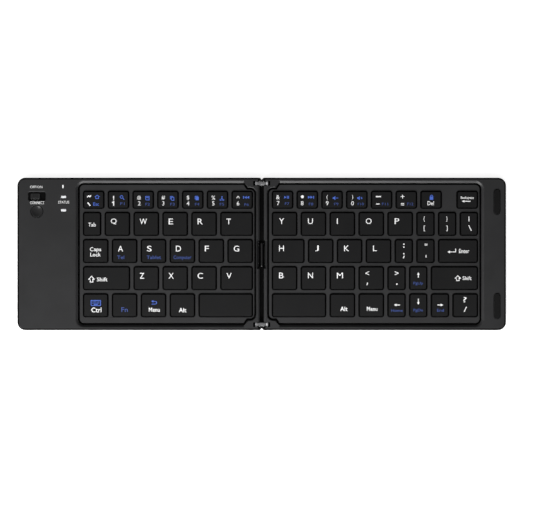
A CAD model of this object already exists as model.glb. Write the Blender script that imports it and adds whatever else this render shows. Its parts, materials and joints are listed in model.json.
import json
import math

import bmesh
import bpy
from mathutils import Matrix, Vector

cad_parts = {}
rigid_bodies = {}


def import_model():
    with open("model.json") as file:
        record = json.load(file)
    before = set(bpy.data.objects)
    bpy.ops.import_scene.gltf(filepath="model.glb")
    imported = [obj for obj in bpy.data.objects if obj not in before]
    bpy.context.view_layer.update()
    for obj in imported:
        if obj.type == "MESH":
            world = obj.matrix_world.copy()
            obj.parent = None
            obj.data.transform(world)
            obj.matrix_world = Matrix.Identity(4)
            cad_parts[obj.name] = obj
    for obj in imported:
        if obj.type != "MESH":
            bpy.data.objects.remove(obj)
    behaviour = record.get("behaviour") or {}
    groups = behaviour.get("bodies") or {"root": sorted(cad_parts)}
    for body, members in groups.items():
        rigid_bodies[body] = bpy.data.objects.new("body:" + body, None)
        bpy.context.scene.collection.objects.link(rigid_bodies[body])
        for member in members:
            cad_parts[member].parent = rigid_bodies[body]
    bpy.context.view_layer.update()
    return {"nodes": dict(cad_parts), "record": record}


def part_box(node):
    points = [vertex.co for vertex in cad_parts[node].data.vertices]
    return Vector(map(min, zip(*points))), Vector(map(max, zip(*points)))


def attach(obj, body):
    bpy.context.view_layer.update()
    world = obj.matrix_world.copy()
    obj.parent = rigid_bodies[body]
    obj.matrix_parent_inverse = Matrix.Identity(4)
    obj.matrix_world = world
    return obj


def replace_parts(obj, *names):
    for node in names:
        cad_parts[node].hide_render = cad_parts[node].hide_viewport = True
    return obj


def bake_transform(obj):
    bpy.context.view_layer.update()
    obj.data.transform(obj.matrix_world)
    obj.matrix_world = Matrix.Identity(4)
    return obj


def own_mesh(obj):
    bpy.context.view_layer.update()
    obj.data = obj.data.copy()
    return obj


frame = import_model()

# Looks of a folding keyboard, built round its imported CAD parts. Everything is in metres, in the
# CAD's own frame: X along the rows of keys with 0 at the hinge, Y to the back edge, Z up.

MM = 0.001
SIDES = ("left", "right")
nodes = frame["nodes"]
behaviour = frame["record"]["behaviour"]
node_body = {node: body for body, on_body in behaviour["bodies"].items() for node in on_body}
node_slot = {part["node"]: part["material_slot"] for part in frame["record"]["subparts"]}
letter_keys = sorted(node for node in nodes if node.startswith("key_"))
all_keys = letter_keys + ["left_space_key", "right_space_key", "left_side_keys", "right_number_keys",
                          "right_side_keys"]
key_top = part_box("key_q")[1].z
casing_box = {side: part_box(side + "_housing") for side in SIDES}
casing_top = casing_box["left"][1].z

# Marks on faces: how far a face lies in a hollow, from 0 to 1, and which print is thin
HOLLOW = "hollow"
FAINT = "faint"

# Sizes and places of the CAD part that its nodes' boxes don't tell. A place at the hinge is given by
# its distance from the middle of the object, along X or along Y.
DECK_DEPTH = 1.4 * MM      # from the top of a key deck to the floor that it lies on
LINK_EYE = 2.75 * MM       # where the eyes of the hinge links begin
CHANNEL = 1.6 * MM         # the channel between the casings with its edges
STRIP = 3.5 * MM           # where the narrow strip beside the channel ends
STEP_FRONT, STEP_BACK, STEP_END = 38.2 * MM, 44.3 * MM, 10.7 * MM     # a deck's stepped corner
SLOPE_FRONT, SLOPE_START = 42 * MM, 8.5 * MM       # the slope of that corner lies beyond these
DECK_STEP_FRONT, DECK_STEP_END = 37 * MM, 15 * MM  # the deck's part that has that corner
CONTROLS_RIGHT, CONTROLS_FRONT = -130 * MM, 24 * MM    # the slider, the button and the lamps

# The casings' outer edge has a wide rounding, which ends at this distance from the hinge's middle
RIM = 1.1 * MM
RIM_END = 9 * MM


# Finishes

def new_material(name):
    material = bpy.data.materials.new(name)
    material.use_nodes = True
    tree = material.node_tree
    return material, tree, tree.nodes["Principled BSDF"]


def grain(tree, size, detail=3.0):
    """A noise of that grain size on the piece's own coordinates."""
    place = tree.nodes.new("ShaderNodeTexCoord")
    noise = tree.nodes.new("ShaderNodeTexNoise")
    noise.inputs["Scale"].default_value = 1 / size
    noise.inputs["Detail"].default_value = detail
    tree.links.new(place.outputs["Object"], noise.inputs["Vector"])
    return noise


def ramp(tree, source, low, high, start=0.3, end=0.7):
    """Turns values from start to end, such as a noise, into values from low to high."""
    scale = tree.nodes.new("ShaderNodeMapRange")
    for socket, value in (("From Min", start), ("From Max", end), ("To Min", low), ("To Max", high)):
        scale.inputs[socket].default_value = value
    tree.links.new(source, scale.inputs["Value"])
    return scale.outputs["Result"]


def shades(tree, source, dark, light):
    """Turns a noise into colours between two shades."""
    mix = tree.nodes.new("ShaderNodeMix")
    mix.data_type = "RGBA"
    mix.inputs["A"].default_value = (*dark, 1)
    mix.inputs["B"].default_value = (*light, 1)
    tree.links.new(ramp(tree, source, 0, 1), mix.inputs["Factor"])
    return mix.outputs["Result"]


def bumps(tree, shader, source, depth):
    """A relief of that depth, from a noise."""
    bump = tree.nodes.new("ShaderNodeBump")
    bump.inputs["Distance"].default_value = depth
    bump.inputs["Strength"].default_value = 1.0
    tree.links.new(source, bump.inputs["Height"])
    tree.links.new(bump.outputs["Normal"], shader.inputs["Normal"])


def where_marked(tree, mark, surface, marked):
    """A colour that turns into another one on the faces with a mark. Also gives the mark itself."""
    attribute = tree.nodes.new("ShaderNodeAttribute")
    attribute.attribute_name = mark
    mix = tree.nodes.new("ShaderNodeMix")
    mix.data_type = "RGBA"
    mix.inputs["B"].default_value = (*marked, 1)
    tree.links.new(surface, mix.inputs["A"])
    tree.links.new(attribute.outputs["Fac"], mix.inputs["Factor"])
    return mix.outputs["Result"], attribute.outputs["Fac"]


def moulded(name, colour, roughness, texture=0.25 * MM, depth=0.006 * MM, specular=0.5, cloud=0.10,
            hollows=False):
    """Moulded plastic or rubber: a fine eroded texture, and faint clouds in its colour and gloss.
    With hollows, it is darker and duller where the piece's faces are marked as hollow."""
    material, tree, shader = new_material(name)
    clouds = grain(tree, 14 * MM, 2.0).outputs["Fac"]
    fine = grain(tree, texture, 4.0).outputs["Fac"]
    dark = [c * (1 - cloud) for c in colour]
    light = [c * (1 + cloud) for c in colour]
    surface = shades(tree, clouds, dark, light)
    shader.inputs["Specular IOR Level"].default_value = specular
    if hollows:
        surface, mark = where_marked(tree, HOLLOW, surface, (0.0006, 0.0006, 0.0006))
        tree.links.new(ramp(tree, mark, specular, 0.03, 0, 1), shader.inputs["Specular IOR Level"])
    tree.links.new(surface, shader.inputs["Base Color"])
    tree.links.new(ramp(tree, fine, roughness - 0.05, roughness + 0.05), shader.inputs["Roughness"])
    bumps(tree, shader, fine, depth)
    return material


def metal(name, colour, roughness, run, depth=0.004 * MM, hollows=False):
    """Bare metal with fine lines. run says how fine they are along each axis, so that they are long
    where it is low. With hollows, the metal is duller on the faces that are marked as hollow."""
    material, tree, shader = new_material(name)
    place = tree.nodes.new("ShaderNodeTexCoord")
    stretch = tree.nodes.new("ShaderNodeMapping")
    stretch.inputs["Scale"].default_value = run
    lines = tree.nodes.new("ShaderNodeTexNoise")
    lines.inputs["Scale"].default_value = 1.0
    lines.inputs["Detail"].default_value = 3.0
    tree.links.new(place.outputs["Object"], stretch.inputs["Vector"])
    tree.links.new(stretch.outputs["Vector"], lines.inputs["Vector"])
    dark = [c * 0.85 for c in colour]
    surface = shades(tree, lines.outputs["Fac"], dark, colour)
    if hollows:
        surface, _ = where_marked(tree, HOLLOW, surface, (0.01, 0.01, 0.01))
    tree.links.new(surface, shader.inputs["Base Color"])
    tree.links.new(ramp(tree, lines.outputs["Fac"], roughness - 0.06, roughness + 0.06),
                   shader.inputs["Roughness"])
    shader.inputs["Metallic"].default_value = 1.0
    bumps(tree, shader, lines.outputs["Fac"], depth)
    return material


def printed(name, colour):
    """Printed ink, a little uneven, and dim where the faces are marked as faint."""
    material, tree, shader = new_material(name)
    specks = grain(tree, 0.4 * MM, 2.0).outputs["Fac"]
    uneven = shades(tree, specks, [c * 0.86 for c in colour], colour)
    surface, _ = where_marked(tree, FAINT, uneven, [c * 0.4 + 0.004 for c in colour])
    tree.links.new(surface, shader.inputs["Base Color"])
    shader.inputs["Roughness"].default_value = 0.55
    return material


def laminate(name, green, copper):
    """A lacquered circuit board: copper tracks showing faintly through the green."""
    material, tree, shader = new_material(name)
    place = tree.nodes.new("ShaderNodeTexCoord")
    tracks = tree.nodes.new("ShaderNodeTexBrick")
    tracks.inputs["Scale"].default_value = 260
    tracks.inputs["Mortar Size"].default_value = 0.03
    tracks.inputs["Color1"].default_value = (*green, 1)
    tracks.inputs["Color2"].default_value = (*[c * 0.8 for c in green], 1)
    tracks.inputs["Mortar"].default_value = (*copper, 1)
    tree.links.new(place.outputs["Object"], tracks.inputs["Vector"])
    tree.links.new(tracks.outputs["Color"], shader.inputs["Base Color"])
    shader.inputs["Roughness"].default_value = 0.3
    return material


finishes = {
    "casing_plastic": moulded("casing plastic", (0.0155, 0.0155, 0.0162), 0.40, specular=0.34,
                              hollows=True),
    "cover_plastic": moulded("cover plastic", (0.014, 0.014, 0.015), 0.55, texture=0.4 * MM,
                             depth=0.012 * MM, specular=0.3),
    "deck_plastic": moulded("deck plastic", (0.018, 0.018, 0.0188), 0.40, specular=0.34, hollows=True),
    "key_plastic": moulded("key plastic", (0.0055, 0.0055, 0.0058), 0.5, texture=0.18 * MM, specular=0.17,
                           hollows=True),
    "button_plastic": moulded("button plastic", (0.0035, 0.0035, 0.0038), 0.22, specular=0.5),
    "dome_rubber": moulded("dome rubber", (0.06, 0.06, 0.065), 0.6),
    "foot_rubber": moulded("foot rubber", (0.0045, 0.0045, 0.0045), 0.75, texture=0.5 * MM,
                           depth=0.02 * MM, specular=0.12),
    "switch_foil": moulded("switch foil", (0.003, 0.003, 0.0032), 0.5, texture=2 * MM,
                           depth=0.002 * MM, specular=0.1, cloud=0.05),
    "chip_plastic": moulded("chip plastic", (0.02, 0.02, 0.02), 0.6),
    "light_plastic": moulded("light plastic", (0.74, 0.75, 0.77), 0.3, depth=0.001 * MM, cloud=0.03),
    "flex_foil": moulded("flex foil", (0.004, 0.004, 0.004), 0.4, texture=1 * MM, depth=0.002 * MM,
                         specular=0.15),
    "black_plate": moulded("plate paint", (0.003, 0.003, 0.003), 0.6, texture=0.3 * MM, specular=0.1),
    "hinge_steel": metal("hinge steel", (0.93, 0.93, 0.95), 0.33, (900, 5000, 5000), 0.002 * MM,
                         hollows=True),
    "screw_steel": metal("screw steel", (0.30, 0.30, 0.32), 0.35, (5000, 5000, 5000)),
    "socket_steel": metal("socket steel", (0.6, 0.61, 0.63), 0.3, (6000, 2000, 6000)),
    "pouch_foil": metal("pouch foil", (0.5, 0.51, 0.54), 0.42, (900, 900, 900), 0.03 * MM),
    "board_laminate": laminate("board laminate", (0.02, 0.13, 0.05), (0.05, 0.2, 0.08)),
    "legend_white": printed("white ink", (0.93, 0.93, 0.93)),
    "legend_blue": printed("blue ink", (0.055, 0.13, 0.56)),
}


def finish_piece(piece, slot):
    """Gives a piece the finish of a material slot and puts it in that slot."""
    piece.data.materials.clear()
    piece.data.materials.append(finishes[slot])


def new_piece(name, shape):
    """Turns a bmesh into an object at the world's origin."""
    mesh = bpy.data.meshes.new(name)
    shape.to_mesh(mesh)
    shape.free()
    piece = bpy.data.objects.new(name, mesh)
    bpy.context.scene.collection.objects.link(piece)
    return piece


def add_piece(name, shape, body, slot):
    """Turns a bmesh into a piece that rides on a body."""
    piece = new_piece(name, shape)
    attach(piece, body)
    finish_piece(piece, slot)
    return piece


# Pieces that keep their CAD shape and get softened edges

def merged_shape(node):
    """A node's mesh with its loose triangles joined."""
    shape = bmesh.new()
    shape.from_mesh(nodes[node].data)
    bmesh.ops.remove_doubles(shape, verts=shape.verts, dist=0.001 * MM)
    return shape


def smooth_below(shape, angle):
    """Shades the shape smooth, but for edges that turn by more than angle degrees, and but for the
    edges of large faces, which keep an even light."""
    for face in shape.faces:
        face.smooth = True
    for edge in shape.edges:
        edge.smooth = edge.is_manifold and edge.calc_face_angle(0) < math.radians(angle)
        if edge.smooth and edge.calc_face_angle(0) > math.radians(2):
            small, large = sorted(edge.link_faces, key=lambda face: (face.calc_area(), face.index))
            uneven = large.calc_area() > 3 * small.calc_area() or abs(large.normal.z) > 0.9999
            if large.calc_area() > 2 * MM * MM and uneven:
                edge.smooth = False


def corner_edges(shape, test, angle=25):
    """Outward corners that turn by more than angle degrees and whose middle passes the test."""
    found = []
    for edge in shape.edges:
        if edge.is_manifold and edge.calc_face_angle_signed(0) > math.radians(angle):
            if test((edge.verts[0].co + edge.verts[1].co) / 2, edge):
                found.append(edge)
    return found


def round_edges(shape, edges, radius, segments, clamp=True):
    bmesh.ops.bevel(shape, geom=edges, offset=radius, offset_type="OFFSET", affect="EDGES",
                    segments=segments, profile=0.5, material=-1, clamp_overlap=clamp)


def level(edge, z):
    """Whether an edge lies at that height."""
    return all(abs(v.co.z - z) < 0.01 * MM for v in edge.verts)


def on_wall(at, side, reach):
    """Whether a point is that close to the outer edge of a casing."""
    low, high = casing_box[side]
    outer = at.x - low.x if side == "left" else high.x - at.x
    return min(outer, at.y - low.y, high.y - at.y) < reach


def join_shape(shape, other):
    """Moves another bmesh's faces into this one."""
    mesh = bpy.data.meshes.new("part")
    other.to_mesh(mesh)
    other.free()
    shape.from_mesh(mesh)
    bpy.data.meshes.remove(mesh)


def loose_boxes(node):
    """The box of each separate solid of a CAD node."""
    shape = merged_shape(node)
    seen, boxes = set(), []
    for first in shape.verts:
        if first in seen:
            continue
        seen.add(first)
        part, wait = [], [first]
        while wait:
            vert = wait.pop()
            part.append(vert.co)
            for edge in vert.link_edges:
                other = edge.other_vert(vert)
                if other not in seen:
                    seen.add(other)
                    wait.append(other)
        boxes.append((Vector([min(c[i] for c in part) for i in range(3)]),
                      Vector([max(c[i] for c in part) for i in range(3)])))
    shape.free()
    return boxes


def softened(node, name, radius, segments, test, hollow=None, first=None, clamp=True):
    """A copy of a CAD node whose corners that pass the test are rounded. It stands for the node.
    hollow tells how hollow a face is, from 0 to 1. first shapes the copy before that."""
    shape = merged_shape(node)
    bmesh.ops.dissolve_limit(shape, angle_limit=math.radians(0.5), verts=shape.verts, edges=shape.edges)
    if first:
        first(shape)
    round_edges(shape, corner_edges(shape, test), radius, segments, clamp)
    smooth_below(shape, 35)
    if hollow:
        shape.normal_update()
        layer = shape.faces.layers.float.new(HOLLOW)
        for face in shape.faces:
            face[layer] = hollow(face.calc_center_median(), face.normal)
    piece = add_piece(name, shape, node_body[node], node_slot[node])
    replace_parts(piece, node)


def cut_across(shape, place, normal, reach):
    """Cuts the faces along a plane, in the part of the shape whose x is within reach."""
    part = [item for items in (shape.verts, shape.edges, shape.faces) for item in items
            if all(abs(v.co.x) < reach for v in getattr(item, "verts", [item]))]
    bmesh.ops.bisect_plane(shape, geom=part, dist=1e-8, plane_co=place, plane_no=normal)


# Which corners are rounded

def at_height(z):
    """Edges that lie at that height."""
    return lambda at, edge: level(edge, z)


def above(z):
    """Edges whose middle is higher than that."""
    return lambda at, edge: at.z > z


def every_edge(at, edge):
    """All corners of the piece."""
    return True


def under_rim(side):
    """The outer edge of a bottom cover, away from the hinge."""
    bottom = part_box(side + "_bottom_cover")[0].z
    return lambda at, edge: level(edge, bottom) and on_wall(at, side, 5.2 * MM) and abs(at.x) > 8 * MM


def recess_edges(side):
    """The top edges of a casing's recesses, away from the hinge."""
    return lambda at, edge: (level(edge, casing_top) and not on_wall(at, side, 0.5 * RIM)
                             and abs(at.x) > STEP_END)


def beside_step(at, edge):
    """The casing's top edges round the stepped corners of the key deck."""
    x, y = abs(at.x), abs(at.y)
    return (level(edge, casing_top) and STRIP < x < STEP_END and STEP_FRONT < y < STEP_BACK
            and (y < SLOPE_FRONT or x > SLOPE_START))


def beside_channel(at, edge):
    """The casing's top edges along the narrow strip between the key deck and the channel."""
    return level(edge, casing_top) and abs(at.x) < STRIP and abs(at.y) < STEP_FRONT


def round_rim(side):
    """Rounds the outer edge of a casing's top more than its other edges. Beside the hinge that edge
    stays, and cuts mark a strip of the same width there. Then rounds the recess's edges at the hinge."""
    way = -1 if side == "left" else 1

    def first(shape):
        cut_across(shape, (way * RIM_END, 0, 0), (1, 0, 0), 1)
        rim = corner_edges(shape, lambda at, edge: level(edge, casing_top) and on_wall(at, side, 1.6 * MM)
                           and abs(at.x) > RIM_END)
        round_edges(shape, rim, RIM, 4, False)
        for end in (-1, 1):
            cut_across(shape, (0, end * (casing_box[side][1].y - RIM), 0), (0, 1, 0), RIM_END * 1.001)
        round_edges(shape, corner_edges(shape, beside_step), 0.5 * MM, 3, False)
        round_edges(shape, corner_edges(shape, beside_channel), 0.2 * MM, 2, False)

    return first


def mark_link_ends(shape):
    """Cuts a hinge link's faces where its eyes begin, so that they can be marked apart."""
    for way in (-1, 1):
        cut_across(shape, (way * LINK_EYE, 0, 0), (1, 0, 0), 1)


# Which faces are dark, as the light hardly gets there

def cap_hollow(at, normal):
    """The sides of a key, and most of the rounding of its top."""
    return 1.0 if normal.z < 0.5 else 0.9 if normal.z < 0.97 else 0.0


def deck_hollow(side):
    """The inside of the deck's openings and their rounded edges, but not the deck's outer edge."""
    low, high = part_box(side + "_key_deck")

    def hollow(at, normal):
        if normal.z < 0.3:
            return 1.0
        inside = min(at.x - low.x, high.x - at.x, at.y - low.y, high.y - at.y) > 0.7 * MM
        stepped = abs(at.x) < DECK_STEP_END and abs(at.y) > DECK_STEP_FRONT
        return 0.9 if normal.z < 0.97 and inside and not stepped else 0.0

    return hollow


def casing_hollow(side, deck_floor):
    """The casing's outer edge, the deck's recess, the channel, and the holes for the controls."""
    def hollow(at, normal):
        if on_wall(at, side, 1.5 * RIM) and at.z > casing_top - RIM and 0.05 < normal.z < 0.999:
            return 0.95
        if on_wall(at, side, RIM):
            return 0.6 if normal.z < 0.05 else 0.95 if abs(at.x) < RIM_END else 0.0
        if at.z < deck_floor + 0.1 * MM or (abs(at.x) < CHANNEL and normal.z < 0.3):
            return 1.0
        if at.x < CONTROLS_RIGHT and at.y > CONTROLS_FRONT and at.z < casing_top - 0.3 * MM:
            return 0.9
        return 0.0

    return hollow


def link_shade(at, normal):
    """The bar between the eyes of a link is duller than the eyes, and so are their edges."""
    return 0.62 if abs(at.x) < LINK_EYE else 0.5 if abs(normal.y) > 0.4 else 0.0


for node in all_keys:
    softened(node, node.replace("key", "cap"), 0.5 * MM, 3, at_height(key_top), cap_hollow)
for side in SIDES:
    deck_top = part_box(side + "_key_deck")[1].z
    softened(side + "_key_deck", side + "_deck_panel", 0.35 * MM, 3, at_height(deck_top), deck_hollow(side))
    softened(side + "_housing", side + "_casing", 0.35 * MM, 3, recess_edges(side),
             casing_hollow(side, deck_top - DECK_DEPTH), round_rim(side), False)
    softened(side + "_bottom_cover", side + "_underside", 0.3 * MM, 3, under_rim(side))
    softened(side + "_feet", side + "_foot_pads", 0.2 * MM, 3, at_height(0))
softened("bumper_pads", "bumpers", 0.4 * MM, 4, at_height(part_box("bumper_pads")[1].z))
softened("hinge_links", "links", 0.25 * MM, 3, every_edge, link_shade, mark_link_ends)
softened("power_slider", "slider_knob", 0.14 * MM, 3, above(casing_top - 0.4 * MM))
softened("connect_button", "round_button", 0.1 * MM, 3, above(casing_top - 0.3 * MM))
softened("status_lights", "light_guides", 0.1 * MM, 2, at_height(casing_top))


# Screws with a cross cut in the head. The head's flat side is down.

HEAD_RADIUS, HEAD_HEIGHT, THREAD_RADIUS = 1.3 * MM, 0.4 * MM, 0.65 * MM
CROSS_WIDTH, CROSS_LENGTH, CROSS_DEPTH = 0.32 * MM, 1.5 * MM, 0.28 * MM


def cut_cross(shape, z):
    """Sinks a cross into a screw's head, whose flat side is at that height."""
    half_width, half_length = CROSS_WIDTH / 2, CROSS_LENGTH / 2
    for reach in (half_width, half_length):
        for normal in ((1, 0, 0), (0, 1, 0)):
            for way in (-1, 1):
                bmesh.ops.bisect_plane(shape, geom=shape.verts[:] + shape.edges[:] + shape.faces[:],
                                       dist=1e-8, plane_co=Vector(normal) * way * reach, plane_no=normal)
    cross = []
    for face in shape.faces:
        at = face.calc_center_median()
        near, far = sorted((abs(at.x), abs(at.y)))
        if abs(at.z - z) < 0.0001 * MM and near < half_width and far < half_length:
            cross.append(face)
    sunk = bmesh.ops.extrude_face_region(shape, geom=cross)["geom"]
    floor = [v for v in sunk if isinstance(v, bmesh.types.BMVert)]
    bmesh.ops.translate(shape, vec=(0, 0, CROSS_DEPTH), verts=floor)


def add_screws(side):
    """The same screws as the CAD node's, with a rounded head and a cross cut in it."""
    node = side + "_screws"
    shape = bmesh.new()
    for low, high in loose_boxes(node):
        one = bmesh.new()
        bmesh.ops.create_cone(one, cap_ends=True, segments=28, radius1=HEAD_RADIUS, radius2=HEAD_RADIUS,
                              depth=HEAD_HEIGHT, matrix=Matrix.Translation((0, 0, low.z + HEAD_HEIGHT / 2)))
        round_edges(one, [e for e in one.edges if level(e, low.z)], 0.12 * MM, 3)
        cut_cross(one, low.z)
        start = low.z + HEAD_HEIGHT - 0.1 * MM
        bmesh.ops.create_cone(one, cap_ends=True, segments=20, radius1=THREAD_RADIUS, radius2=THREAD_RADIUS,
                              depth=high.z - start, matrix=Matrix.Translation((0, 0, (high.z + start) / 2)))
        one.transform(Matrix.Translation(((low.x + high.x) / 2, (low.y + high.y) / 2, 0)))
        join_shape(shape, one)
    smooth_below(shape, 35)
    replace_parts(add_piece(side + "_cross_screws", shape, node_body[node], node_slot[node]), node)


for side in SIDES:
    add_screws(side)


# Rubber domes under the keys: one piece under each key piece, so that they flatten with it

# Radius and height of a dome's outline in millimetres, from its foot to its neck. Its top is flat.
DOME = [(0.0, 0.0), (3.0, 0.0), (3.0, 0.35), (2.75, 0.45), (2.62, 0.6), (2.45, 1.2), (2.0, 1.75),
        (1.75, 1.95), (1.7, 2.2)]


def key_half(key_node):
    """The half of the keyboard that a key's own body moves on."""
    return next(joint["parent"] for joint in behaviour["joints"] if joint["child"] == node_body[key_node])


def add_domes(key_node):
    half = key_half(key_node)
    node = half.replace("half", "rubber_domes")
    low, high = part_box(node)
    height = high.z - low.z
    outline = [(r * MM, h * MM) for r, h in DOME]
    outline += [(1.7 * MM, height - 0.1 * MM), (1.55 * MM, height), (0.0, height)]
    shape = bmesh.new()
    for key_low, key_high in loose_boxes(key_node):
        one = bmesh.new()
        line = [one.verts.new((r, 0, low.z + h)) for r, h in outline]
        edges = [one.edges.new(pair) for pair in zip(line, line[1:])]
        bmesh.ops.spin(one, geom=line + edges, angle=math.tau, steps=24, use_merge=True,
                       use_duplicate=False, axis=(0, 0, 1), cent=(0, 0, 0))
        bmesh.ops.remove_doubles(one, verts=one.verts, dist=0.0001 * MM)
        one.transform(Matrix.Translation(((key_low.x + key_high.x) / 2, (key_low.y + key_high.y) / 2, 0)))
        join_shape(shape, one)
    bmesh.ops.recalc_face_normals(shape, faces=shape.faces)
    smooth_below(shape, 40)
    piece = add_piece(key_node.replace("key", "dome"), shape, half, node_slot[node])
    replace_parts(piece, node)
    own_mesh(piece)


for node in all_keys:
    add_domes(node)


# The flat cable under the hinge, in two pieces that bend with the two pin lines

def add_flat_cable(side, way):
    low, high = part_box("flex_cable")
    middle, thick = (low.z + high.z) / 2, high.z - low.z
    shape = bmesh.new()
    bmesh.ops.create_grid(shape, x_segments=36, y_segments=10, size=0.5)
    for vert in shape.verts:
        vert.co = Vector(((vert.co.x + 0.5) * high.x * way, (vert.co.y + 0.5) * (high.y - low.y) + low.y,
                          middle))
    bmesh.ops.solidify(shape, geom=shape.verts[:] + shape.edges[:] + shape.faces[:], thickness=thick * 0.9)
    shift = middle - sum(v.co.z for v in shape.verts) / len(shape.verts)
    bmesh.ops.translate(shape, vec=(0, 0, shift), verts=shape.verts)
    bmesh.ops.recalc_face_normals(shape, faces=shape.faces)
    smooth_below(shape, 40)
    piece = new_piece("flat_cable_" + side, shape)
    finish_piece(piece, node_slot["flex_cable"])
    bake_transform(piece)
    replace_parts(piece, "flex_cable")


add_flat_cable("left", -1)
add_flat_cable("right", 1)


# Printed legends: thin ink, half sunk in the surface. Sizes in this section are in millimetres.

WHITE, BLUE = "legend_white", "legend_blue"
INK = 0.02     # how far the ink goes into the surface, and how far it stands out
LIFT = 0.004   # how much higher a stroke is that crosses another
ink = {}


def spot(body, slot, x, y, z):
    """A place to print: the body's ink of one colour, and the middle of the print, in metres."""
    if (body, slot) not in ink:
        ink[body, slot] = bmesh.new()
    return ink[body, slot], Matrix.Translation((x, y, z))


def patch(at, outline, lift=0.0):
    """A filled shape. Its outline runs anticlockwise."""
    shape, place = at
    low = [shape.verts.new(place @ (Vector((x, y, -INK)) * MM)) for x, y in outline]
    high = [shape.verts.new(place @ (Vector((x, y, INK + lift)) * MM)) for x, y in outline]
    shape.faces.new(high)
    shape.faces.new(low[::-1])
    for i in range(len(low)):
        j = (i + 1) % len(low)
        shape.faces.new((low[i], low[j], high[j], high[i]))


def bar(at, x0, y0, x1, y1, thick, lift=0.0):
    """A straight stroke between two points, half its thickness past each."""
    run = Vector((x1 - x0, y1 - y0)).normalized() * thick / 2
    side = Vector((-run.y, run.x))
    a, b = Vector((x0, y0)) - run, Vector((x1, y1)) + run
    patch(at, [a - side, b - side, b + side, a + side], lift)


def stroke(at, points, thick):
    """Straight strokes from point to point."""
    for i, (a, b) in enumerate(zip(points, points[1:])):
        bar(at, *a, *b, thick, LIFT * (i % 3))


def corners(x, y, w, d):
    """The corners of a rectangle about a place, anticlockwise."""
    return [(x - w / 2, y - d / 2), (x + w / 2, y - d / 2), (x + w / 2, y + d / 2), (x - w / 2, y + d / 2)]


def block(at, x, y, w, d, lift=0.0):
    patch(at, corners(x, y, w, d), lift)


def border(at, x, y, w, d, thick):
    """The outline of a rectangle."""
    around = corners(x, y, w, d)
    stroke(at, around + around[:1], thick)


def ring(at, x, y, radius, thick, start=0, end=360):
    """A ring, or the part of one between two angles."""
    steps = max(6, round((end - start) / 20))
    turns = [math.radians(start + (end - start) * i / steps) for i in range(steps + 1)]
    inner, outer = ([(x + r * math.cos(a), y + r * math.sin(a)) for a in turns]
                    for r in (radius - thick / 2, radius + thick / 2))
    for i in range(steps):
        patch(at, [inner[i], outer[i], outer[i + 1], inner[i + 1]])


def disc(at, x, y, radius):
    patch(at, [(x + radius * math.cos(a * math.tau / 16), y + radius * math.sin(a * math.tau / 16))
               for a in range(16)])


def text_shape(text):
    """A text's mesh at size 1, standing on its baseline, and its box. Words that aren't all capitals
    get heavier strokes."""
    curve = bpy.data.curves.new("word", "FONT")
    curve.body = text
    curve.size = 1
    curve.offset = 0.008 if len(text) > 1 and not text.isupper() else 0.0
    curve.extrude = INK
    curve.resolution_u = 3
    source = bpy.data.objects.new("word", curve)
    bpy.context.scene.collection.objects.link(source)
    bpy.context.view_layer.update()
    mesh = bpy.data.meshes.new_from_object(source.evaluated_get(bpy.context.evaluated_depsgraph_get()))
    bpy.data.objects.remove(source)
    bpy.data.curves.remove(curve)
    low = [min(v.co[i] for v in mesh.vertices) for i in range(2)]
    high = [max(v.co[i] for v in mesh.vertices) for i in range(2)]
    return mesh, low, high


words = {}
CAPITAL = 0.682     # how tall a capital is at size 1


def drawn(text):
    """A text's mesh and box at size 1, made once."""
    if text not in words:
        words[text] = text_shape(text)
    return words[text]


def print_text(at, text, x, y, across, up, middle):
    """Prints text about x, y. across and up scale it. middle is the height of its middle at size 1."""
    mesh, low, high = drawn(text)
    shape, place = at
    one = bmesh.new()
    one.from_mesh(mesh)
    bmesh.ops.remove_doubles(one, verts=one.verts, dist=1e-5)
    one.transform(place @ Matrix.Translation((x * MM, y * MM, 0))
                  @ Matrix.Diagonal((across * MM, up * MM, MM, 1))
                  @ Matrix.Translation((-(low[0] + high[0]) / 2, -middle, 0)))
    join_shape(shape, one)


def word(at, text, x, y, capital, wide):
    """A word whose capitals have that height, made as wide as asked."""
    _, low, high = drawn(text)
    print_text(at, text, x, y, wide / (high[0] - low[0]), capital / CAPITAL, CAPITAL / 2)


def glyph(at, text, x, y, tall, wide=None):
    """A sign that is that tall, and that wide or else in its own proportions."""
    _, low, high = drawn(text)
    up = tall / (high[1] - low[1])
    across = wide / (high[0] - low[0]) if wide else up
    print_text(at, text, x, y, across, up, (low[1] + high[1]) / 2)


# Small signs, each drawn about the place that it is given

def arrow(at, x, y, length, way):
    """A straight arrow. way is the angle that it points at."""
    c, s = math.cos(math.radians(way)), math.sin(math.radians(way))

    def turned(u, v):
        return x + u * c - v * s, y + u * s + v * c

    tip, head, thick = length / 2, 1.6, 0.5
    bar(at, *turned(-tip + thick / 2, 0), *turned(tip - head * 0.7, 0), thick)
    patch(at, [turned(tip - head, -head / 2), turned(tip, 0), turned(tip - head, head / 2)], LIFT)


def shift_arrow(at, x, y, w, h):
    """A hollow arrow that points away from the reader."""
    a, b, t, neck = w / 2 - 0.3, h / 2 - 0.25, h / 2 - 0.3, w / 5
    stroke(at, [(x - neck, y - 0.1), (x - a, y - 0.1), (x, y + t), (x + a, y - 0.1), (x + neck, y - 0.1),
                (x + neck, y - b), (x - neck, y - b), (x - neck, y - 0.1)], 0.42)


def enter_arrow(at, x, y, w, h):
    """An arrow that comes down and turns to the left."""
    left, right, low = x - w / 2, x + w / 2 - 0.2, y - h / 6
    stroke(at, [(right, y + h / 2), (right, low), (left + 1.2, low)], 0.42)
    patch(at, [(left, low), (left + 1.7, low - 0.85), (left + 1.7, low + 0.85)], 1.5 * LIFT)


def house(at, x, y):
    stroke(at, [(x - 1.3, y), (x, y + 1.1), (x + 1.3, y)], 0.42)
    stroke(at, [(x - 0.85, y - 0.1), (x - 0.85, y - 1.1), (x + 0.85, y - 1.1), (x + 0.85, y - 0.1)], 0.4)


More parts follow.
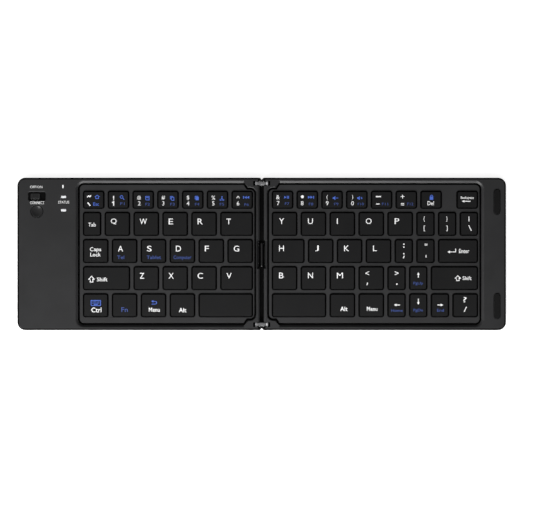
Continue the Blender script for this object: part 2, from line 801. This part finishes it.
def magnifier(at, x, y):
    ring(at, x - 0.3, y + 0.35, 0.85, 0.4)
    bar(at, x + 0.45, y - 0.4, x + 1.15, y - 1.15, 0.45)


def pages(at, x, y, solid):
    """Two sheets: the one in front is an outline or solid."""
    stroke(at, [(x - 1.1, y - 0.4), (x - 1.1, y + 1.2), (x + 0.5, y + 1.2)], 0.4)
    if solid:
        block(at, x + 0.2, y - 0.2, 1.9, 2.1)
    else:
        border(at, x + 0.3, y - 0.3, 1.6, 1.8, 0.4)


def window_sign(at, x, y):
    border(at, x, y, 2.2, 2.2, 0.4)
    block(at, x, y + 0.35, 1.5, 0.5, LIFT)


def scissors(at, x, y):
    for way in (-1, 1):
        ring(at, x + 0.75 * way, y - 0.85, 0.42, 0.32)
        bar(at, x + 0.45 * way, y - 0.4, x - 0.35 * way, y + 1.3, 0.34, LIFT * (1 + way))


def track_sign(at, x, y, way, second):
    """Two triangles that point one way and the bar that they run to, or one triangle and a pause sign."""
    if second == "pause":
        patch(at, [(x - 1.45, y - 0.85), (x - 0.05, y), (x - 1.45, y + 0.85)])
        block(at, x + 0.45, y, 0.42, 1.7)
        block(at, x + 1.25, y, 0.42, 1.7)
        return
    for start in (-1.9, -0.4):
        ends = [(x + way * start, y - 0.85), (x + way * (start + 1.5), y), (x + way * start, y + 0.85)]
        patch(at, ends if way > 0 else ends[::-1])
    block(at, x + way * 1.6, y, 0.55, 1.7, LIFT)


def loudspeaker(at, x, y, plus):
    block(at, x - 1.15, y, 0.7, 0.9)
    patch(at, [(x - 1.0, y - 0.45), (x + 0.1, y - 1.2), (x + 0.1, y + 1.2), (x - 1.0, y + 0.45)], LIFT)
    bar(at, x + 0.75, y, x + 1.75, y, 0.34)
    if plus:
        bar(at, x + 1.25, y - 0.5, x + 1.25, y + 0.5, 0.34, LIFT)


def padlock(at, x, y):
    block(at, x, y - 0.65, 2.2, 2.0)
    ring(at, x, y + 0.45, 0.72, 0.42, 0, 180)
    for way in (-1, 1):
        bar(at, x + 0.72 * way, y + 0.4, x + 0.72 * way, y + 0.3, 0.42, LIFT)


def screen_keys(at, x, y):
    """A small keyboard."""
    border(at, x, y, 5.8, 3.2, 0.45)
    for row in (0.75, -0.05):
        for column in range(5):
            block(at, x - 1.8 + column * 0.9, y + row, 0.55, 0.45)
    block(at, x, y - 0.85, 2.6, 0.45)


def back_turn(at, x, y):
    """An arrow that turns back, for going back."""
    bar(at, x - 0.6, y + 0.85, x + 0.6, y + 0.85, 0.42)
    ring(at, x + 0.6, y, 0.85, 0.42, -90, 90)
    bar(at, x + 0.6, y - 0.85, x - 1.4, y - 0.85, 0.42)
    patch(at, [(x - 1.85, y + 0.85), (x - 0.6, y), (x - 0.6, y + 1.7)], LIFT)


# What is printed on each key: how it is drawn, its colour, and the rest from the key's middle

def function_label(text, x, y):
    """F1 to F12, small, in the near right corner of a key."""
    return word, BLUE, text, x, y + 0.2, 1.6, 2.7 if len(text) == 2 else 3.8


def track(x, y, way, second=""):
    """A blue sign of a music player."""
    return track_sign, BLUE, x, y, way, second


prints = {
    "grave": [(stroke, WHITE, [(-3.8, 1.8), (-3.1, 2.3), (-2.4, 1.9), (-1.8, 2.4)], 0.7),
              (bar, WHITE, -3.5, -2.1, -2.3, -3.5, 0.75), (house, BLUE, 2.2, 1.8),
              (word, BLUE, "Esc", 1.6, -2.75, 1.9, 3.5)],
    "1": [(bar, WHITE, -3.0, 2.05, -3.0, 0.85, 0.6), (block, WHITE, -3.0, -0.1, 0.6, 0.55),
          (stroke, WHITE, [(-3.7, -1.75), (-2.95, -1.3), (-2.95, -3.5)], 0.6), (magnifier, BLUE, 2.3, 1.3),
          function_label("F1", 2.5, -2.7)],
    "2": [(glyph, WHITE, "@", -2.6, 1.2, 2.5, 2.4), (glyph, WHITE, "2", -2.4, -2.3, 2.6),
          (window_sign, BLUE, 2.6, 0.9), function_label("F2", 2.8, -3.0)],
    "3": [(glyph, WHITE, "#", -2.9, 1.2, 2.5, 2.2), (glyph, WHITE, "3", -2.9, -2.3, 2.6),
          (pages, BLUE, 2.6, 0.8, False), function_label("F3", 2.8, -3.0)],
    "4": [(glyph, WHITE, "$", -2.9, 1.2, 2.8), (glyph, WHITE, "4", -2.9, -2.3, 2.6),
          (pages, BLUE, 2.6, 0.9, True), function_label("F4", 2.8, -3.0)],
    "5": [(glyph, WHITE, "%", -2.6, 1.2, 2.5), (glyph, WHITE, "5", -2.6, -2.3, 2.6),
          (scissors, BLUE, 2.8, 0.7), function_label("F5", 2.8, -3.0)],
    "6": [(glyph, WHITE, "^", -2.6, 1.6, 1.5, 2.2), (glyph, WHITE, "6", -2.6, -2.3, 2.6),
          track(2.4, 1.4, -1), function_label("F6", 2.7, -3.2)],
    "7": [(glyph, WHITE, "&", -2.9, 1.5, 2.5), (glyph, WHITE, "7", -2.7, -2.2, 2.6),
          track(2.5, 1.5, 1, "pause"), function_label("F7", 2.8, -2.7)],
    "8": [(disc, WHITE, -3.1, 1.8, 0.95), (glyph, WHITE, "8", -3.2, -2.2, 2.6),
          track(2.3, 1.5, 1), function_label("F8", 2.3, -2.9)],
    "9": [(glyph, WHITE, "(", -3.05, 1.5, 2.8), (glyph, WHITE, "9", -3.05, -2.2, 2.6),
          (loudspeaker, BLUE, 1.9, 1.0, False), function_label("F9", 2.6, -2.9)],
    "0": [(glyph, WHITE, ")", -2.7, 1.5, 2.8), (glyph, WHITE, "0", -2.7, -2.2, 2.6),
          (loudspeaker, BLUE, 1.7, 1.0, True), function_label("F10", 2.4, -2.9)],
    "minus": [(bar, WHITE, -3.2, 1.9, -0.8, 1.9, 0.75), (bar, WHITE, -3.1, -2.7, -1.6, -2.7, 0.6),
              function_label("F11", 2.1, -2.9)],
    "equals": [(glyph, WHITE, "+", -2.4, 1.9, 2.4), (bar, WHITE, -3.2, -2.4, -1.6, -2.4, 0.45),
               (bar, WHITE, -3.2, -3.3, -1.6, -3.3, 0.45), function_label("F12", 2.4, -2.9)],
    "del": [(padlock, BLUE, 0.2, 1.6), (word, WHITE, "Del", -0.3, -2.2, 2.4, 4.0)],
    "backspace": [(word, WHITE, "Backspace", 0.0, 1.3, 1.5, 8.2), (arrow, WHITE, -0.7, -1.0, 5.4, 180)],
    "tab": [(word, WHITE, "Tab", 0, -0.5, 2.3, 4.7)],
    "bracket_l": [(glyph, WHITE, "{", -0.9, 3.0, 3.2), (glyph, WHITE, "[", -0.7, -2.8, 3.4)],
    "bracket_r": [(glyph, WHITE, "}", -0.2, 3.0, 3.2), (glyph, WHITE, "]", -0.2, -2.8, 3.4)],
    "backslash": [(bar, WHITE, 0, 4.3, 0, 1.7, 0.45), (bar, WHITE, 0.0, -1.1, 1.4, -4.1, 0.5)],
    "caps": [(word, WHITE, "Caps", -0.1, 1.1, 2.3, 7.0), (word, WHITE, "Lock", -0.1, -2.2, 2.3, 6.5)],
    "a": [(word, BLUE, "Tel", -2.4, -3.9, 2.1, 4.4)],
    "s": [(word, BLUE, "Tablet", 0.2, -3.9, 2.1, 8.9)],
    "d": [(word, BLUE, "Computer", 0.0, -3.9, 2.1, 11)],
    "semicolon": [(block, WHITE, 0, 4.2, 0.75, 0.75), (block, WHITE, 0, 2.4, 0.75, 0.75),
                  (block, WHITE, 0, -1.7, 0.75, 0.75), (bar, WHITE, 0.1, -3.3, -0.25, -4.3, 0.6)],
    "quote": [(bar, WHITE, -0.2, 4.4, -0.2, 3.5, 0.45), (bar, WHITE, 0.8, 4.4, 0.8, 3.5, 0.45),
              (bar, WHITE, 0.3, -2.8, 0.3, -3.8, 0.5)],
    "enter": [(enter_arrow, WHITE, -4.0, -0.1, 5.4, 2.8), (word, WHITE, "Enter", 3.8, 0, 2.5, 6.4)],
    "shift_l": [(shift_arrow, WHITE, -9.3, -0.6, 4.0, 4.2), (word, WHITE, "Shift", -2.7, -0.8, 2.3, 6.5)],
    "comma": [(glyph, WHITE, "<", -2.5, 3.1, 2.4), (bar, WHITE, -2.4, -3.1, -2.7, -4.0, 0.6)],
    "period": [(glyph, WHITE, ">", 0, 3.1, 2.4), (block, WHITE, 0.1, -3.7, 0.8, 0.8)],
    "up": [(arrow, WHITE, 0, 2.0, 3.4, 90), (word, BLUE, "PgUp", -0.1, -3.1, 1.6, 5.8)],
    "shift_r": [(shift_arrow, WHITE, 2.1, 0, 4.0, 3.6), (word, WHITE, "Shift", 7.8, 0, 2.2, 5.5)],
    "ctrl": [(screen_keys, BLUE, 0.1, 1.4), (word, WHITE, "Ctrl", 0.5, -2.9, 2.8, 6.2)],
    "fn": [(word, BLUE, "Fn", 0, -2.7, 2.8, 4.0)],
    "menu_l": [(back_turn, BLUE, 0.5, 1.6), (word, WHITE, "Menu", 0.5, -2.7, 2.6, 6.8)],
    "alt_l": [(word, WHITE, "Alt", 0.1, -3.0, 2.6, 4.6)],
    "alt_r": [(word, WHITE, "Alt", 0.9, -2.2, 2.6, 4.4)],
    "menu_r": [(word, WHITE, "Menu", 0.5, -2.2, 2.5, 6.6)],
    "left": [(arrow, WHITE, 0.2, 0.2, 3.7, 180), (word, BLUE, "Home", 0.2, -3.2, 1.6, 7.2)],
    "down": [(arrow, WHITE, 0, 2.2, 3.7, -90), (word, BLUE, "PgDn", -0.1, -3.0, 1.6, 5.8)],
    "right": [(arrow, WHITE, 0.2, 0.2, 3.6, 0), (word, BLUE, "End", 0.3, -3.1, 1.7, 4.3)],
    "slash": [(glyph, WHITE, "?", -0.2, 3.5, 3.3, 2.1), (glyph, WHITE, "/", 0, -2.5, 3.1, 1.9)],
}
rows = [
    ["grave", "1", "2", "3", "4", "5", "6", "7", "8", "9", "0", "minus", "equals", "del", "backspace"],
    ["tab", *"qwertyuiop", "bracket_l", "bracket_r", "backslash"],
    ["caps", *"asdfghjkl", "semicolon", "quote", "enter"],
    ["shift_l", *"zxcvbnm", "comma", "period", "up", "shift_r"],
    ["ctrl", "fn", "menu_l", "alt_l", "space_l", "space_r", "alt_r", "menu_r", "left", "down", "right",
     "slash"],
]

# How tall the letters of the keys are, and how wide each is
LETTER = 3.55
letter_widths = dict(a=3.1, b=2.8, c=3.3, d=3.2, e=2.7, f=2.5, g=3.4, h=3.0, i=0.55, j=2.2, k=3.1, l=2.3,
                     m=3.8, n=3.1, o=3.6, p=2.8, q=3.6, r=3.2, s=2.9, t=2.8, u=3.1, v=3.2, w=4.5, x=3.1,
                     y=3.2, z=2.8)


def make_faint(shape, first):
    """Marks the faces from that one on as thin, dim ink."""
    faint = shape.faces.layers.float.get(FAINT) or shape.faces.layers.float.new(FAINT)
    for face in list(shape.faces)[first:]:
        face[faint] = 1


def print_key(name, low, high, body):
    """Prints one key: a letter is measured from its far left corner, other prints from its middle."""
    if len(name) == 1 and name.isalpha():
        from_left, from_back = (3.5, 4.7) if low.x < 0 else (4.1, 4.5)
        wide = letter_widths[name]
        glyph(spot(body, WHITE, low.x + from_left * MM, high.y - from_back * MM, key_top), name.upper(),
              wide / 2, -LETTER / 2, LETTER, wide)
    for draw, colour, *rest in prints.get(name, []):
        shape, place = spot(body, colour, (low.x + high.x) / 2, (low.y + high.y) / 2, key_top)
        printed_before = len(shape.faces)
        draw((shape, place), *rest)
        if draw is word and colour == BLUE and rest[0] != "Esc":
            make_faint(shape, printed_before)


def print_keys():
    """Sorts the keys into rows from back to front and prints each one."""
    keys = [(low, high, node_body[node]) for node in all_keys for low, high in loose_boxes(node)]
    keys.sort(key=lambda key: -(key[0].y + key[1].y))
    for names in rows:
        row = sorted(keys[:len(names)], key=lambda key: key[0].x)
        del keys[:len(names)]
        for name, key in zip(names, row):
            print_key(name, *key)


def print_strip():
    """The words beside the slider, the button and the lamps, and the bar beside the slider."""
    for text, x, y, capital, wide in (("OFF/ON", -140.3, 41.7, 1.45, 7.6),
                                      ("CONNECT", -139.7, 31.9, 1.75, 8.9),
                                      ("STATUS", -123.2, 32.2, 1.6, 6.8)):
        word(spot("left_half", WHITE, x * MM, y * MM, casing_top), text, 0, 0, capital, wide)
    bar(spot("left_half", WHITE, -123.7 * MM, 42.0 * MM, casing_top), 0, -0.55, 0, 0.55, 0.85)


print_keys()
print_strip()
for (body, slot), shape in ink.items():
    bmesh.ops.recalc_face_normals(shape, faces=shape.faces)
    add_piece(body + slot.replace("legend", "") + "_print", shape, body, slot)
for mesh, *_ in words.values():
    bpy.data.meshes.remove(mesh)


# The nodes that are still seen as the CAD made them

for node, piece in nodes.items():
    if not piece.hide_render:
        finish_piece(piece, node_slot[node])


# Floor, light and camera

def floor_white():
    """Matt white that the camera and reflections see a little brighter than its light makes it."""
    material, tree, shader = new_material("white floor")
    shader.inputs["Base Color"].default_value = (0.86, 0.86, 0.86, 1)
    shader.inputs["Roughness"].default_value = 0.9
    shader.inputs["Emission Color"].default_value = (1, 1, 1, 1)
    path = tree.nodes.new("ShaderNodeLightPath")
    seen = tree.nodes.new("ShaderNodeMath")
    seen.operation = "MAXIMUM"
    tree.links.new(path.outputs["Is Camera Ray"], seen.inputs[0])
    tree.links.new(path.outputs["Is Glossy Ray"], seen.inputs[1])
    glow = tree.nodes.new("ShaderNodeMath")
    glow.operation = "MULTIPLY"
    glow.inputs[1].default_value = 0.75
    tree.links.new(seen.outputs[0], glow.inputs[0])
    tree.links.new(glow.outputs[0], shader.inputs["Emission Strength"])
    return material


def add_floor():
    floor = bmesh.new()
    bmesh.ops.create_grid(floor, x_segments=1, y_segments=1, size=3)
    piece = new_piece("floor", floor)
    piece.data.materials.append(floor_white())


def add_light(name, place, aim, wide, high, power):
    """A soft oval lamp."""
    lamp = bpy.data.lights.new(name, "AREA")
    lamp.shape = "ELLIPSE"
    lamp.size = wide
    lamp.size_y = high
    lamp.energy = power
    light = bpy.data.objects.new(name, lamp)
    bpy.context.scene.collection.objects.link(light)
    light.location = place
    light.rotation_euler = (Vector(aim) - Vector(place)).to_track_quat("-Z", "Y").to_euler()


def add_world():
    """A white backdrop that lights the object mostly from the front left."""
    world = bpy.data.worlds.new("studio")
    bpy.context.scene.world = world
    world.use_nodes = True
    tree = world.node_tree
    background = tree.nodes["Background"]
    background.inputs["Color"].default_value = (1, 1, 1, 1)
    place = tree.nodes.new("ShaderNodeTexCoord")
    towards = tree.nodes.new("ShaderNodeVectorMath")
    towards.operation = "DOT_PRODUCT"
    towards.inputs[1].default_value = Vector((-0.62, -0.74, 0.25)).normalized()
    tree.links.new(place.outputs["Generated"], towards.inputs[0])
    soft = ramp(tree, towards.outputs["Value"], 0.04, 0.85, -0.6, 1.0)
    path = tree.nodes.new("ShaderNodeLightPath")
    strength = tree.nodes.new("ShaderNodeMix")
    strength.inputs["B"].default_value = 1.0
    tree.links.new(path.outputs["Is Camera Ray"], strength.inputs["Factor"])
    tree.links.new(soft, strength.inputs["A"])
    tree.links.new(strength.outputs["Result"], background.inputs["Strength"])


def add_camera():
    """Straight above, as the photograph was taken, with a long lens."""
    height, seen_width, sensor = 1.2, 331.7 * MM, 36
    lens = bpy.data.cameras.new("camera")
    lens.sensor_width = sensor
    lens.lens = sensor * height / seen_width
    camera = bpy.data.objects.new("camera", lens)
    camera.location = (3.0 * MM, 0.6 * MM, casing_top + height)
    bpy.context.scene.collection.objects.link(camera)
    bpy.context.scene.camera = camera


add_floor()
add_world()
add_light("front light", place=(-0.04, -0.31, 0.19), aim=(0, 0, 0), wide=0.5, high=0.12, power=2.3)
add_light("left light", place=(-0.48, -0.42, 0.8), aim=(-0.1, 0, 0), wide=0.3, high=0.3, power=1.6)
add_camera()
bpy.context.scene.view_settings.view_transform = "Standard"
